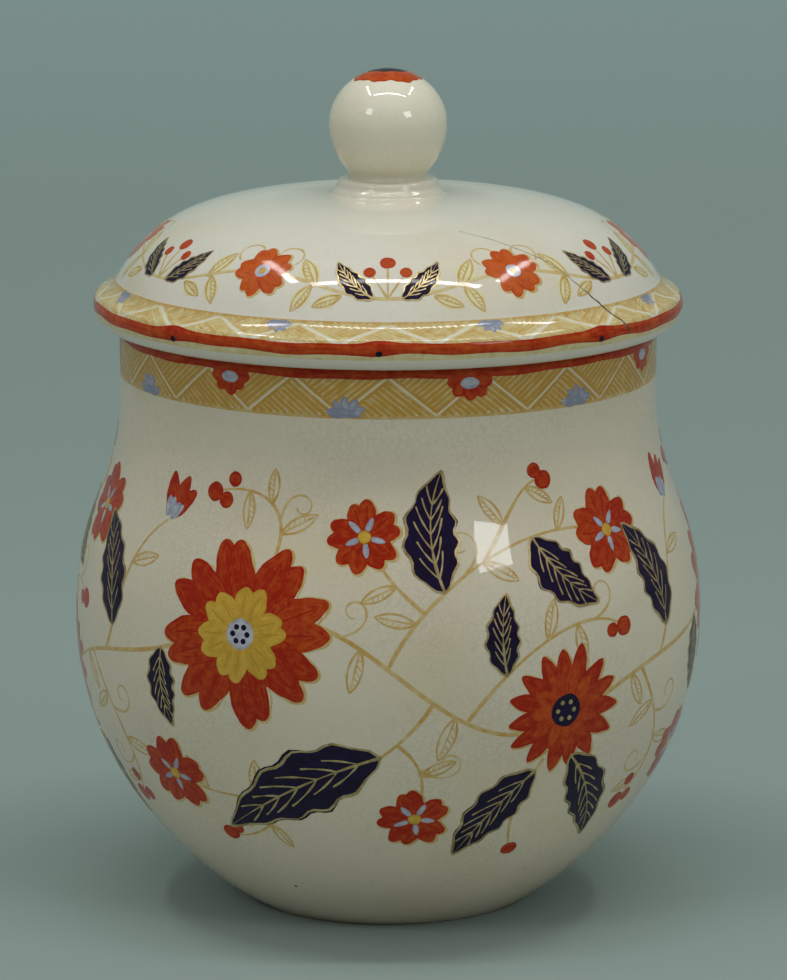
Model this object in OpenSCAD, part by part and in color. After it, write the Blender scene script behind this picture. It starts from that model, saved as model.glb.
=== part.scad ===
// Lidded sugar box in glazed earthenware: a bellied jar, a domed lid whose flange drops
// into the jar's mouth, and a round knob luted to the collar on the lid's crown.
// Millimetres. The foot stands on z = 0 and the axis of the pot is +Z.

/* [Jar] */
// Height of the jar from its foot to its rim
jar_h = 87.2; // [76:0.2:110]
// Radius of the belly at its widest ring
belly_r = 46.9; // [43:0.1:60]
// Height of the belly's widest ring
belly_z = 43; // [34:0.5:50]
// Radius of the upright neck
neck_r = 40; // [34:0.25:43]
// Height of the upright neck below the rim
neck_h = 8.9; // [5:0.1:14]
// Radius of the foot ring
foot_r = 21; // [16:0.5:28]
// Width of the foot ring's resting face
foot_w = 3.6; // [2:0.1:6]
// Depth of the recess inside the foot ring
foot_recess = 1.6; // [0.6:0.1:3]
// Thickness of the wall
jar_wall = 3.6; // [2.5:0.1:5]
// Thickness of the floor over the foot's recess
floor_t = 4.6; // [3:0.1:7]
// Rounding of the rim's two edges
rim_round = 1.1; // [0.4:0.1:1.2]

/* [Jar curve] */
// Angle at which the wall leaves the foot
foot_slope = 29; // [20:1:40]
// Length of the wall curve's handle at the foot
foot_pull = 12.5; // [8:0.5:18]
// Length of the handle below the belly's widest ring
belly_pull_low = 21; // [14:0.5:26]
// Length of the handle above the belly's widest ring
belly_pull_high = 18; // [10:0.5:22]
// Length of the handle where the wall runs into the neck
neck_pull = 16.5; // [6:0.5:20]

/* [Lid] */
// Overhang of the lid's edge beyond the jar's neck
lid_overhang = 3.8; // [3.5:0.05:7]
// Distance that the edge tucks in under its widest ring
edge_tuck = 2.5; // [1.5:0.1:3.2]
// Height of the edge below its widest ring
edge_low = 3.1; // [2:0.1:5]
// Height that the edge rounds over to above its widest ring
edge_top = 1.85; // [0.8:0.05:2.6]
// Distance that the edge rounds over above its widest ring
edge_over = 1.4; // [0.8:0.1:2]
// Angle at which the brim rises from the edge to the cove
brim_slope = 23; // [10:1:35]
// Distance from the edge's widest ring in to the foot of the dome
dome_inset = 3.7; // [3.2:0.1:6]
// Height of the dome's foot above the top of the edge
cove_h = 2.3; // [1.6:0.1:4]
// Length of the cove curve's two handles
cove_pull = 1.4; // [0.8:0.1:1.8]
// Height of the dome from its foot to its crown
dome_h = 12.05; // [9:0.05:18]
// Angle at which the dome rises from its foot
dome_slope = 59; // [45:1:66]
// Length of the dome curve's handle at its foot
dome_pull = 12.2; // [7:0.1:14]
// Length of the dome curve's handle at its crown
crown_pull = 25; // [16:0.5:28]
// Thickness of the lid under its crown
lid_wall = 3.8; // [2.8:0.1:5]

/* [Flange] */
// Distance that the flange drops below the lid's seat
flange_drop = 5; // [3:0.1:9]
// Thickness of the flange
flange_t = 2.8; // [2.2:0.1:4]
// Clearance between the flange and the jar's mouth
flange_gap = 0.9; // [0.4:0.05:2]
// Rounding of the flange's two lower edges
flange_round = 0.9; // [0.3:0.1:1]
// Length of the hollow's handle above the flange
hollow_rise = 13; // [8:0.5:14]
// Length of the hollow's handle under the crown
hollow_reach = 24; // [14:0.5:26]

/* [Knob] */
// Radius of the knob at its widest ring
knob_r = 8.8; // [7.6:0.1:12]
// Height of the knob above its widest ring
knob_top = 8.2; // [5:0.1:12]
// Height of the knob below its widest ring
knob_low = 8; // [4:0.1:10]
// Radius of the flat that seats the knob on the collar
knob_seat_r = 4.8; // [3.5:0.1:6.4]
// Radius of the collar
collar_r = 7.5; // [7:0.1:9]
// Height of the collar above the lid's crown
collar_h = 2.3; // [1.8:0.1:4]
// Rounding of the collar's top edge
collar_round = 0.7; // [0.2:0.1:0.9]
// Radius of the bead round the collar's foot
bead_r = 8.4; // [8:0.1:10]
// Height of the bead above the lid's crown
bead_h = 1; // [0.5:0.1:1.5]

/* [Hidden] */
// Facets of a full turn, and straight steps in each curved stretch of a profile
$fn = 144;
curve_steps = 20;
corner_steps = 6;
// Share of the wall's lower curve that the sweep of the floor takes up inside,
// and the shares of its run to the corner that the sweep's two handles reach
floor_share = 0.4;
sweep_flat = 0.5;
sweep_lift = 0.8;
// Glazed body colours
glaze_white = [0.87, 0.86, 0.80];
knob_white = [0.85, 0.84, 0.77];

neck_z = jar_h - neck_h;
mouth_r = neck_r - jar_wall;
floor_z = foot_recess + floor_t;
recess_r = foot_r - foot_w;

lid_r = neck_r + lid_overhang;
edge_z = jar_h + edge_low;
edge_top_z = edge_z + edge_top;
dome_z = edge_top_z + cove_h;
crown_z = dome_z + dome_h;
flange_r = mouth_r - flange_gap;
hollow_r = flange_r - flange_t;
hollow_z = crown_z - lid_wall;
flange_z = jar_h - flange_drop;

knob_seat_z = crown_z + collar_h;
knob_z = knob_seat_z + knob_low;

// Point at t, from 0 to 1, on the cubic curve from a to d with handle points b and c
function curve_point(a, b, c, d, t) =
    pow(1 - t, 3) * a + 3 * t * pow(1 - t, 2) * b + 3 * t * t * (1 - t) * c + pow(t, 3) * d;

// Unit direction of travel at t on the same curve
function curve_heading(a, b, c, d, t) =
    let (v = pow(1 - t, 2) * (b - a) + 2 * t * (1 - t) * (c - b) + t * t * (d - c))
    v / norm(v);

// Points along the curve from t = from to t = 1, moved to the left of its travel by gap
function curve(a, b, c, d, gap = 0, from = 0) = [
    for (i = [0:curve_steps])
        let (t = from + (1 - from) * i / curve_steps, u = curve_heading(a, b, c, d, t))
        curve_point(a, b, c, d, t) + gap * [-u[1], u[0]]
];

// Points round part of an ellipse from one angle to another
function arc(centre, radii, from, to, steps) = [
    for (i = [0:steps])
        let (angle = from + (to - from) * i / steps)
        centre + [radii[0] * cos(angle), radii[1] * sin(angle)]
];

function reversed(points) = [for (i = [len(points) - 1:-1:0]) points[i]];
function without_first(points) = [for (i = [1:len(points) - 1]) points[i]];
function along(angle, length) = length * [cos(angle), sin(angle)];

// The jar's outer wall: one curve from the foot to the belly, one from the belly to the neck
foot_point = [foot_r, 0];
belly_point = [belly_r, belly_z];
neck_point = [neck_r, neck_z];
foot_handle = foot_point + along(foot_slope, foot_pull);
belly_handle_low = belly_point - [0, belly_pull_low];
belly_handle_high = belly_point + [0, belly_pull_high];
neck_handle = neck_point - [0, neck_pull];

// The floor inside sweeps up from the axis and meets the even wall in line with it
sweep_point = curve_point(foot_point, foot_handle, belly_handle_low, belly_point, floor_share);
sweep_heading = curve_heading(foot_point, foot_handle, belly_handle_low, belly_point, floor_share);
sweep_end = sweep_point + jar_wall * [-sweep_heading[1], sweep_heading[0]];
sweep_run = (sweep_end[1] - floor_z) / sweep_heading[1] * sweep_heading;
floor_curve = curve(
    [0, floor_z],
    [sweep_flat * (sweep_end[0] - sweep_run[0]), floor_z],
    sweep_end - sweep_lift * sweep_run,
    sweep_end
);

// Bellied jar with an open mouth, a rounded rim and a ring foot
module jar() {
    wall_out = concat(
        curve(foot_point, foot_handle, belly_handle_low, belly_point),
        without_first(curve(belly_point, belly_handle_high, neck_handle, neck_point))
    );
    rim = concat(
        arc([neck_r - rim_round, jar_h - rim_round], [rim_round, rim_round], 0, 90, corner_steps),
        arc([mouth_r + rim_round, jar_h - rim_round], [rim_round, rim_round], 90, 180, corner_steps)
    );
    wall_in = concat(
        floor_curve,
        without_first(curve(foot_point, foot_handle, belly_handle_low, belly_point, jar_wall, floor_share)),
        without_first(curve(belly_point, belly_handle_high, neck_handle, neck_point, jar_wall))
    );
    foot_hollow = [[0, foot_recess], [recess_r - foot_recess, foot_recess], [recess_r, 0]];
    color(glaze_white)
        rotate_extrude()
            polygon(concat(wall_out, rim, reversed(wall_in), foot_hollow));
}

// Domed lid: hollow inside, a flange that keeps it central in the mouth, a rolled edge, a
// narrow sloping brim, a cove, a low dome and the collar that carries the knob
module lid() {
    dome_point = [lid_r - dome_inset, dome_z];
    edge_turn = atan2(edge_top, edge_over * tan(brim_slope));
    edge_point = [lid_r - edge_over + edge_over * cos(edge_turn), edge_z + edge_top * sin(edge_turn)];
    brim_way = along(180 - brim_slope, 1);
    rise = along(180 - dome_slope, 1);
    hollow = curve(
        [hollow_r, jar_h], [hollow_r, jar_h + hollow_rise], [hollow_reach, hollow_z], [0, hollow_z]
    );
    flange = concat(
        arc([hollow_r + flange_round, flange_z + flange_round], [flange_round, flange_round],
            180, 270, corner_steps),
        arc([flange_r - flange_round, flange_z + flange_round], [flange_round, flange_round],
            270, 360, corner_steps),
        [[flange_r, jar_h]]
    );
    edge = concat(
        arc([lid_r - edge_tuck, edge_z], [edge_tuck, edge_low], -90, 0, curve_steps),
        without_first(arc([lid_r - edge_over, edge_z], [edge_over, edge_top], 0, edge_turn, curve_steps))
    );
    cove = curve(
        edge_point, edge_point + cove_pull * brim_way, dome_point - cove_pull * rise, dome_point
    );
    dome = curve(
        dome_point, dome_point + dome_pull * rise, [crown_pull, crown_z], [0, crown_z]
    );
    collar = concat(
        [[0, crown_z - lid_wall / 2], [bead_r, crown_z - lid_wall / 2]],
        arc([collar_r, crown_z], [bead_r - collar_r, bead_h], 0, 90, corner_steps),
        arc([collar_r - collar_round, knob_seat_z - collar_round], [collar_round, collar_round],
            0, 90, corner_steps),
        [[0, knob_seat_z]]
    );
    color(glaze_white) {
        rotate_extrude()
            polygon(concat(reversed(hollow), flange, edge, without_first(cove), without_first(dome)));
        rotate_extrude()
            polygon(collar);
    }
}

// Round knob, a little flattened on top and drawn in to the flat that seats it on the collar
module knob() {
    low_radius = knob_low / sqrt(1 - pow(knob_seat_r / knob_r, 2));
    low_angle = -acos(knob_seat_r / knob_r);
    ball = concat(
        [[0, knob_seat_z]],
        arc([0, knob_z], [knob_r, low_radius], low_angle, 0, curve_steps),
        without_first(arc([0, knob_z], [knob_r, knob_top], 0, 90, curve_steps))
    );
    color(knob_white)
        rotate_extrude()
            polygon(ball);
}

jar();
lid();
knob();
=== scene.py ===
import bpy
import numpy as np
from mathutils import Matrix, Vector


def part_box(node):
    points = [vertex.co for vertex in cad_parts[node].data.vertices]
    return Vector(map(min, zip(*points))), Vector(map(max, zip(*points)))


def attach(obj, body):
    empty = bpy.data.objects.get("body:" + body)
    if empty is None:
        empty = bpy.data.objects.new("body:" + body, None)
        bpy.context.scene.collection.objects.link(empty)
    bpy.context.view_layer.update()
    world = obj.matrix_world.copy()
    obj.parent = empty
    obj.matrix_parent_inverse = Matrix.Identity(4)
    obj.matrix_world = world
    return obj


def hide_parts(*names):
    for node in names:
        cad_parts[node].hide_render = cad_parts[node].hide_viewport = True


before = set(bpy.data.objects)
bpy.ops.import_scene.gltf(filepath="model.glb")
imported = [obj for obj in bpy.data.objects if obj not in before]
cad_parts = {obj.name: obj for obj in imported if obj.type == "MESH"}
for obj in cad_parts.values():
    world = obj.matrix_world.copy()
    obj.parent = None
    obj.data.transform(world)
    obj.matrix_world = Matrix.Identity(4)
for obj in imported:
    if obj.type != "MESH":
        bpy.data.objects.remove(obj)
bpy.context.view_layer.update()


# The jar
# Slip-cast white earthenware in one piece: a ring foot, a round belly, an upright neck and a
# rounded rim. It is dipped in a clear cream glaze, wiped off the ring that it stands on, and
# the glaze has crazed and taken a few stains with age.

MM = 0.001
PAINT_DEPTH = 0.06
HAND_SEED = 11
OUTER_STEP, INNER_STEP, TURN_STEPS = 0.6, 0.9, 256
SWELL_STEPS, SHOULDER_STEPS, FLOOR_STEPS, CORNER_STEPS = 200, 160, 80, 12

jar_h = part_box("jar")[1].z / MM
belly_r, belly_z = 46.9, 43.0
neck_r, neck_h = 40.0, 8.9
foot_r, foot_w, foot_recess = 21.0, 3.6, 1.6
jar_wall, floor_t, rim_round = 3.6, 4.6, 1.1
foot_slope, foot_pull = np.radians(29), 12.5
belly_pull_low, belly_pull_high, neck_pull = 21.0, 18.0, 16.5
floor_share, sweep_flat, sweep_lift = 0.4, 0.5, 0.8
hand = np.random.default_rng(HAND_SEED)


def bezier(a, b, c, d, steps, start=0.0):
    """Cubic curve from a to d with handle points b and c: the four points weighted by the
    Bernstein polynomials of t, for even steps of t from start to 1."""
    t = np.linspace(start, 1, steps + 1)[:, None]
    a, b, c, d = (np.array(p, float) for p in (a, b, c, d))
    return (1 - t) ** 3 * a + 3 * t * (1 - t) ** 2 * b + 3 * t * t * (1 - t) * c + t**3 * d


def arc(centre, radii, start, stop, steps):
    """Part of an ellipse: the centre plus the radii times cosine and sine of even steps of angle."""
    angle = np.radians(np.linspace(start, stop, steps + 1))
    return np.stack([centre[0] + radii[0] * np.cos(angle), centre[1] + radii[1] * np.sin(angle)], 1)


def lengths(points):
    """Length run along a line up to each of its points: the running sum of the steps."""
    return np.r_[0, np.cumsum(np.linalg.norm(np.diff(points, axis=0), axis=1))]


def headings(points):
    """Unit direction of travel at each point of a line, from the differences of its neighbours."""
    step = np.gradient(points, axis=0)
    return step / np.linalg.norm(step, axis=1)[:, None]


def inset(points, gap):
    """The line moved to the left of its travel by gap, along the normal at each point."""
    way = headings(points)
    return points + gap * np.stack([-way[:, 1], way[:, 0]], 1)


def even(points, step):
    """The same line with its points set out again at even steps along its length."""
    run = lengths(points)
    new = np.linspace(0, run[-1], int(np.ceil(run[-1] / step)) + 1)
    return np.stack([np.interp(new, run, points[:, 0]), np.interp(new, run, points[:, 1])], 1)


def build(name, points, loops, starts, smooth, uv, body):
    """A mesh object from whole arrays: points in millimetres, corner indices, the first corner of
    each face, which faces are smooth, and one place on the bake map for each corner."""
    mesh = bpy.data.meshes.new(name)
    mesh.vertices.add(len(points))
    mesh.vertices.foreach_set("co", (np.asarray(points) * MM).astype(np.float32).ravel())
    mesh.loops.add(len(loops))
    mesh.loops.foreach_set("vertex_index", np.asarray(loops, np.int32))
    mesh.polygons.add(len(starts))
    mesh.polygons.foreach_set("loop_start", np.asarray(starts, np.int32))
    mesh.update(calc_edges=True)
    mesh.polygons.foreach_set("use_smooth", np.asarray(smooth, bool))
    layer = mesh.uv_layers.new(name="OFBake")
    layer.data.foreach_set("uv", np.asarray(uv, np.float32).ravel())
    piece = bpy.data.objects.new(name, mesh)
    bpy.context.scene.collection.objects.link(piece)
    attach(piece, body)
    return piece


def turned(name, profile, around, body):
    """A turned solid: each profile point (r, z) goes round the axis, x = r sin a and y = -r cos a,
    for even steps of a full turn. The profile starts and ends on the axis, where it has one point."""
    rings = profile[1:-1]
    angle = np.linspace(-np.pi, np.pi, around, endpoint=False)
    r, z = rings[:, :1], rings[:, 1:]
    points = np.stack([r * np.sin(angle), -r * np.cos(angle), z + 0 * angle], -1).reshape(-1, 3)
    points = np.vstack([points, [[0, 0, profile[0, 1]], [0, 0, profile[-1, 1]]]])
    i, j = np.meshgrid(np.arange(len(rings) - 1), np.arange(around), indexing="ij")
    corner_i = np.stack([i, i, i + 1, i + 1], -1).reshape(-1, 4)
    corner_j = np.stack([j, j + 1, j + 1, j], -1).reshape(-1, 4)
    quads = corner_i * around + corner_j % around
    j = np.arange(around)
    last = (len(rings) - 1) * around
    low = np.stack([0 * j + len(points) - 2, (j + 1) % around, j], 1)
    high = np.stack([last + j, last + (j + 1) % around, 0 * j + len(points) - 1], 1)
    loops = np.r_[quads.ravel(), low.ravel(), high.ravel()]
    starts = np.r_[4 * np.arange(len(quads)), 4 * len(quads) + 3 * np.arange(2 * around)]
    run = lengths(profile) / lengths(profile)[-1]
    u = np.r_[corner_j.ravel(), np.stack([j + 0.5, j + 1, j], 1).ravel(),
              np.stack([j, j + 1, j + 0.5], 1).ravel()] / around
    v = np.r_[run[corner_i.ravel() + 1], np.tile(run[[0, 1, 1]], around),
              np.tile(run[[-2, -2, -1]], around)]
    return build(name, points, loops, starts, np.ones(len(starts)), np.stack([u, v], 1), body)


foot_point, belly_point = np.array([foot_r, 0]), np.array([belly_r, belly_z])
neck_point = np.array([neck_r, jar_h - neck_h])
mouth_r = neck_r - jar_wall
floor_z = foot_recess + floor_t
swell = (foot_point, foot_point + foot_pull * np.array([np.cos(foot_slope), np.sin(foot_slope)]),
         belly_point - [0, belly_pull_low], belly_point)
shoulder = (belly_point, belly_point + [0, belly_pull_high], neck_point - [0, neck_pull], neck_point)
shoulder_line = bezier(*shoulder, SHOULDER_STEPS)[1:]
rim_corner = (rim_round, rim_round)
jar_outside = np.vstack([
    even(np.vstack([bezier(*swell, SWELL_STEPS), shoulder_line, [[neck_r, jar_h - rim_round]]]), OUTER_STEP),
    arc((neck_r - rim_round, jar_h - rim_round), rim_corner, 0, 90, CORNER_STEPS)[1:],
])
wall_inside = inset(np.vstack([bezier(*swell, SWELL_STEPS, floor_share), shoulder_line]), jar_wall)
sweep_end, sweep_way = wall_inside[0], headings(wall_inside)[0]
sweep_run = sweep_way * (sweep_end[1] - floor_z) / sweep_way[1]
floor_sweep = bezier((0, floor_z), (sweep_flat * (sweep_end[0] - sweep_run[0]), floor_z),
                     sweep_end - sweep_lift * sweep_run, sweep_end, FLOOR_STEPS)
jar_inside = even(np.vstack([
    arc((mouth_r + rim_round, jar_h - rim_round), rim_corner, 90, 180, 2 * CORNER_STEPS),
    wall_inside[::-1],
    floor_sweep[-2::-1],
]), INNER_STEP)
foot_under = even(np.array([[0, foot_recess], [foot_r - foot_w - foot_recess, foot_recess],
                            [foot_r - foot_w, 0], [foot_r, 0]]), OUTER_STEP)
jar_skin = inset(jar_outside, PAINT_DEPTH)
jar_skin[0] = foot_point
jar = turned("jar_body", np.vstack([foot_under[:-1], jar_skin, jar_inside]), TURN_STEPS, "jar")
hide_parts("jar")


def add(tree, kind, sockets, **settings):
    """A node of a kind in a tree, with its settings, and each socket given a value or a link."""
    made = tree.nodes.new(kind)
    for key, value in settings.items():
        setattr(made, key, value)
    for key, value in sockets.items():
        if isinstance(value, bpy.types.NodeSocket):
            tree.links.new(value, made.inputs[key])
        else:
            made.inputs[key].default_value = value
    return made


def calc(tree, operation, a, b, held=True):
    """One sum on two values, such as MULTIPLY or ADD, held between nought and one unless told not to."""
    return add(tree, "ShaderNodeMath", {0: a, 1: b}, operation=operation, use_clamp=held).outputs[0]


def fade(tree, value, low, high):
    """Nought up to one as the value goes from low to high, smoothly."""
    made = add(tree, "ShaderNodeMapRange", {"Value": value, "From Min": low, "From Max": high},
               interpolation_type="SMOOTHSTEP")
    return made.outputs["Result"]


def mixed(tree, share, a, b):
    """Colour a going over to colour b by the share."""
    return add(tree, "ShaderNodeMix", {0: share, 6: a, 7: b}, data_type="RGBA").outputs[2]


def noise(tree, place, scale, detail=2.0):
    """Soft random value about one half, with its lumps a metre over scale across."""
    return add(tree, "ShaderNodeTexNoise", {"Vector": place, "Scale": scale, "Detail": detail}).outputs[0]


def patches(tree, place, scale, low, high, detail=2.0):
    """Soft random patches: that noise, faded from nought at low to one at high."""
    return fade(tree, noise(tree, place, scale, detail), low, high)


def look(name, inputs, outputs):
    """A new node group with named sockets: its tree, its inputs and the node that takes its outputs."""
    tree = bpy.data.node_groups.new(name, "ShaderNodeTree")
    for key, kind in inputs.items():
        tree.interface.new_socket(key, in_out="INPUT", socket_type=kind)
    for key, kind in outputs.items():
        tree.interface.new_socket(key, in_out="OUTPUT", socket_type=kind)
    return tree, tree.nodes.new("NodeGroupInput").outputs, tree.nodes.new("NodeGroupOutput")


def finish(name, roughness, group=None, values=None, relief=0.0):
    """A new material of one Principled shader, whose colour, and whose relief through a bump, come
    from a group with its own values."""
    made = bpy.data.materials.new(name)
    made.use_nodes = True
    tree = made.node_tree
    shader = tree.nodes["Principled BSDF"]
    shader.inputs["Roughness"].default_value = roughness
    if group:
        source = add(tree, "ShaderNodeGroup", {}, node_tree=group)
        for key, value in values.items():
            source.inputs[key].default_value = value
        bump = add(tree, "ShaderNodeBump", {"Height": source.outputs["Height"], "Strength": BUMP_STRENGTH,
                                            "Distance": relief})
        tree.links.new(source.outputs["Color"], shader.inputs["Base Color"])
        tree.links.new(bump.outputs["Normal"], shader.inputs["Normal"])
        if "Roughness" in source.outputs:
            tree.links.new(source.outputs["Roughness"], shader.inputs["Roughness"])
    return made, shader


# The jar's cream is darker and warmer than the lid's: partly the glaze's own tone and partly painted shade,
# since the jar's walls stand in shade under the lid.
JAR_CREAM_AND_SHADE = (0.655, 0.61, 0.47, 1)
TEA_STAIN = (0.60, 0.50, 0.27, 1)
CRAZE_BROWN = (0.30, 0.26, 0.19, 1)
SPECK_BLACK = (0.05, 0.04, 0.03, 1)
BARE_CLAY = (0.50, 0.41, 0.29, 1)
BUMP_STRENGTH, GLAZE_ROUGHNESS, GLAZE_RELIEF = 0.5, 0.08, 0.000018
JAR_STAIN, JAR_CRAZING = 0.42, 0.26

# Lumps to the metre, then where each kind of patch begins and is full, and the detail of its edge
FINE_PATCH, CRAZE_PATCH = (60, 0.4, 0.65), (55, 0.2, 0.75, 3)
GRAIN_PATCH, STAIN_PATCH = (1300, 0.4, 0.75), (33, 0.52, 0.78, 3)
DRIFT_SCALE, DRIFT_REACH = 130, (0.0015, 0.0015, 0.0015)
WIDE_CELLS, FINE_CELLS, SPECK_CELLS = 900, 1500, 150
WIDE_LINE, FINE_LINE, SPECK_EDGE = (0.1, 0.0), (0.14, 0.0), (0.05, 0.025)
SPECK_PICK, FOOT_WIPE = (0.955, 0.96), (0.00035, 0.0001)
GRAIN_SHARE, LINE_DEPTH, RIPPLE_SCALE = 0.07, 0.12, 75
GLOSS_SCALE, GLOSS_SWING, GLOSS_LEAST, BARE_ROUGHNESS = 70, 0.06, 0.01, 0.7

crazed, given, out = look(
    "crazed_glaze",
    {"Body": "NodeSocketColor", "Stain": "NodeSocketFloat", "Crazing": "NodeSocketFloat"},
    {"Color": "NodeSocketColor", "Roughness": "NodeSocketFloat", "Height": "NodeSocketFloat"})
place = add(crazed, "ShaderNodeTexCoord", {}).outputs["Object"]
drift = add(crazed, "ShaderNodeTexNoise", {"Vector": place, "Scale": DRIFT_SCALE, "Detail": 2.0})
bent = add(crazed, "ShaderNodeVectorMath", {0: drift.outputs["Color"], 1: DRIFT_REACH, 2: place},
           operation="MULTIPLY_ADD").outputs[0]
wide_lines, fine_lines = (
    fade(crazed, add(crazed, "ShaderNodeTexVoronoi", {"Vector": bent, "Scale": cells},
                     feature="DISTANCE_TO_EDGE").outputs["Distance"], *limits)
    for cells, limits in ((WIDE_CELLS, WIDE_LINE), (FINE_CELLS, FINE_LINE)))
fine_lines = calc(crazed, "MULTIPLY", fine_lines, patches(crazed, place, *FINE_PATCH))
lines = calc(crazed, "MAXIMUM", wide_lines, fine_lines)
lines = calc(crazed, "MULTIPLY", lines, patches(crazed, place, *CRAZE_PATCH))
lines = calc(crazed, "MULTIPLY", lines, given["Crazing"])
grain = calc(crazed, "MULTIPLY", patches(crazed, place, *GRAIN_PATCH), GRAIN_SHARE)
stain = calc(crazed, "MULTIPLY", patches(crazed, place, *STAIN_PATCH), given["Stain"])
dots = add(crazed, "ShaderNodeTexVoronoi", {"Vector": place, "Scale": SPECK_CELLS}).outputs
draw = add(crazed, "ShaderNodeSeparateColor", {"Color": dots["Color"]}).outputs[0]
specks = calc(crazed, "MULTIPLY", fade(crazed, dots["Distance"], *SPECK_EDGE),
              fade(crazed, draw, *SPECK_PICK))
height_z = add(crazed, "ShaderNodeSeparateXYZ", {"Vector": place}).outputs["Z"]
bare = fade(crazed, height_z, *FOOT_WIPE)
shade = mixed(crazed, stain, given["Body"], TEA_STAIN)
shade = mixed(crazed, calc(crazed, "MAXIMUM", lines, grain), shade, CRAZE_BROWN)
shade = mixed(crazed, specks, shade, SPECK_BLACK)
shade = mixed(crazed, bare, shade, BARE_CLAY)
crazed.links.new(shade, out.inputs["Color"])
gloss = calc(crazed, "MULTIPLY", noise(crazed, place, GLOSS_SCALE), GLOSS_SWING)
gloss = calc(crazed, "ADD", gloss, GLOSS_LEAST)
gloss = calc(crazed, "ADD", gloss, calc(crazed, "MULTIPLY", bare, BARE_ROUGHNESS))
crazed.links.new(gloss, out.inputs["Roughness"])
ripple = noise(crazed, place, RIPPLE_SCALE, detail=1.0)
ripple = calc(crazed, "SUBTRACT", ripple, calc(crazed, "MULTIPLY", lines, LINE_DEPTH))
crazed.links.new(ripple, out.inputs["Height"])


def glazed(piece, name, cream, stain, crazing):
    """Gives a piece a crazed glaze over a body colour, with its shares of stain and of crazing."""
    values = {"Body": cream, "Stain": stain, "Crazing": crazing}
    piece.data.materials.append(finish(name, GLAZE_ROUGHNESS, crazed, values, GLAZE_RELIEF)[0])


glazed(jar, "jar_glaze", JAR_CREAM_AND_SHADE, JAR_STAIN, JAR_CRAZING)


# The jar's neck border
# A common ruled border, printed in ochre under the glaze from an engraved plate: a band of
# hatched triangles with plain zig-zag gaps. Over the glaze come a red rim line, red
# half-rosettes that hang from it and grey-blue half-flowers that stand on the band's foot.

SINK, HEM, HEM_SHARE = 0.03, 0.02, 0.4
WASH_LIFT, OCHRE_LIFT, GREY_LIFT, RED_LIFT = 0.006, 0.012, 0.018, 0.024
YELLOW_LIFT, BLUE_LIFT, GOLD_LIFT = 0.036, 0.042, 0.053
OVER, STROKE_STEP, STROKE_LEVELS = 0.006, 0.0003, 5
HAIR, TINY, STRAIGHT = 0.03, 1e-9, 1e-4
SLOW_WAVES, FAST_WAVES, FAST_SHARE, STREAK_APART = 9, 23, 0.6, 100
BRUSH_WOBBLE, DAB_WOBBLE, PEN_WOBBLE = 0.06, 0.04, 0.15
DAB_STEPS, DAB_ACROSS, FAN_STEPS, FAN_ACROSS = 11, 7, 9, 5
FAN_START, FAN_SKEW, FAN_STRAY = 0.1, 0.8, 0.05
FAN_LENGTHS, FAN_TONES = (0.92, 1.06), (-0.1, 0.1)
ROUND_STEPS = 361


def face_of(profile):
    """The outer face of a turned piece, row by row along its profile: length run, radius, height and
    the two parts of the outward normal, which lies to the right of the travel."""
    way = headings(profile)
    return np.stack([lengths(profile), profile[:, 0], profile[:, 1], way[:, 1], -way[:, 0]])


def run_at(face, z):
    """Length run along the face's profile up to a height."""
    return np.interp(z, face[2], face[0])


def laid(face, angle, run, lift):
    """Points on the face: an angle round the axis and a length along the profile, raised by lift
    along the outward normal."""
    r, z, out_r, out_z = (np.interp(run, face[0], row) for row in face[1:])
    r = r + lift * out_r
    return np.stack([r * np.sin(angle), -r * np.cos(angle), z + lift * out_z], -1)


def line(face, angle, run, half, across, lift, tone=0.0, wobble=BRUSH_WOBBLE):
    """Brush lines, one a row. The centre line is an angle and a length run at each step, and the line
    is half wide to each side, square to its travel, with a slow uneven edge. Gives the grid of angles
    and runs, the lift, and the length along, the distance in from the edge and the tone."""
    angle, run, half = np.broadcast_arrays(angle, run, half)
    count, steps = angle.shape
    t = np.linspace(0, 1, steps)
    phase = hand.uniform(0, 2 * np.pi, (2, count, 1))
    waver = np.sin(phase[0] + SLOW_WAVES * t) + FAST_SHARE * np.sin(phase[1] + FAST_WAVES * t)
    half = np.maximum(half * (1 + wobble * waver), HAIR)[..., None]
    r = np.interp(run, face[0], face[1])[..., None]
    along, up = r * np.gradient(angle, axis=1)[..., None], np.gradient(run, axis=1)[..., None]
    size = np.hypot(along, up) + TINY
    side = np.linspace(-1, 1, across)
    offset = half * side
    marks = [np.cumsum(size, 1) + STREAK_APART * phase[0][..., None] + 0 * side, half * (1 - np.abs(side)),
             np.reshape(tone, (-1, 1, 1)) + 0 * offset]
    layer = lift + STROKE_STEP * (np.arange(count) % STROKE_LEVELS)
    angle = angle[..., None] - offset * up / size / r
    run = run[..., None] + offset * along / size
    return face, angle, run, layer, np.stack(marks, -1)


def band(face, low, high, across, lift, tone=0.0):
    """A band right round the piece between two lengths run, which may wave: the run goes from low to
    high across it, and the angle once round from the back."""
    angle = np.linspace(-np.pi, np.pi, ROUND_STEPS)
    low, wide = ((edge + 0 * angle)[:, None] for edge in (low, high - low))
    side = np.linspace(0, 1, across)
    run = low + wide * side
    marks = [neck_r * angle[:, None] + 0 * side, wide * np.minimum(side, 1 - side), tone + 0 * run]
    return face, angle[None, :, None] + 0 * run, run[None], np.array([lift]), np.stack(marks, -1)[None]


def waved(run, *waves):
    """An uneven edge right round at a length run: the run plus sines, each a height, a count and a phase."""
    turn = np.linspace(-np.pi, np.pi, ROUND_STEPS)
    return run + sum(height * np.sin(count * turn + phase) for height, count, phase in waves)


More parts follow.
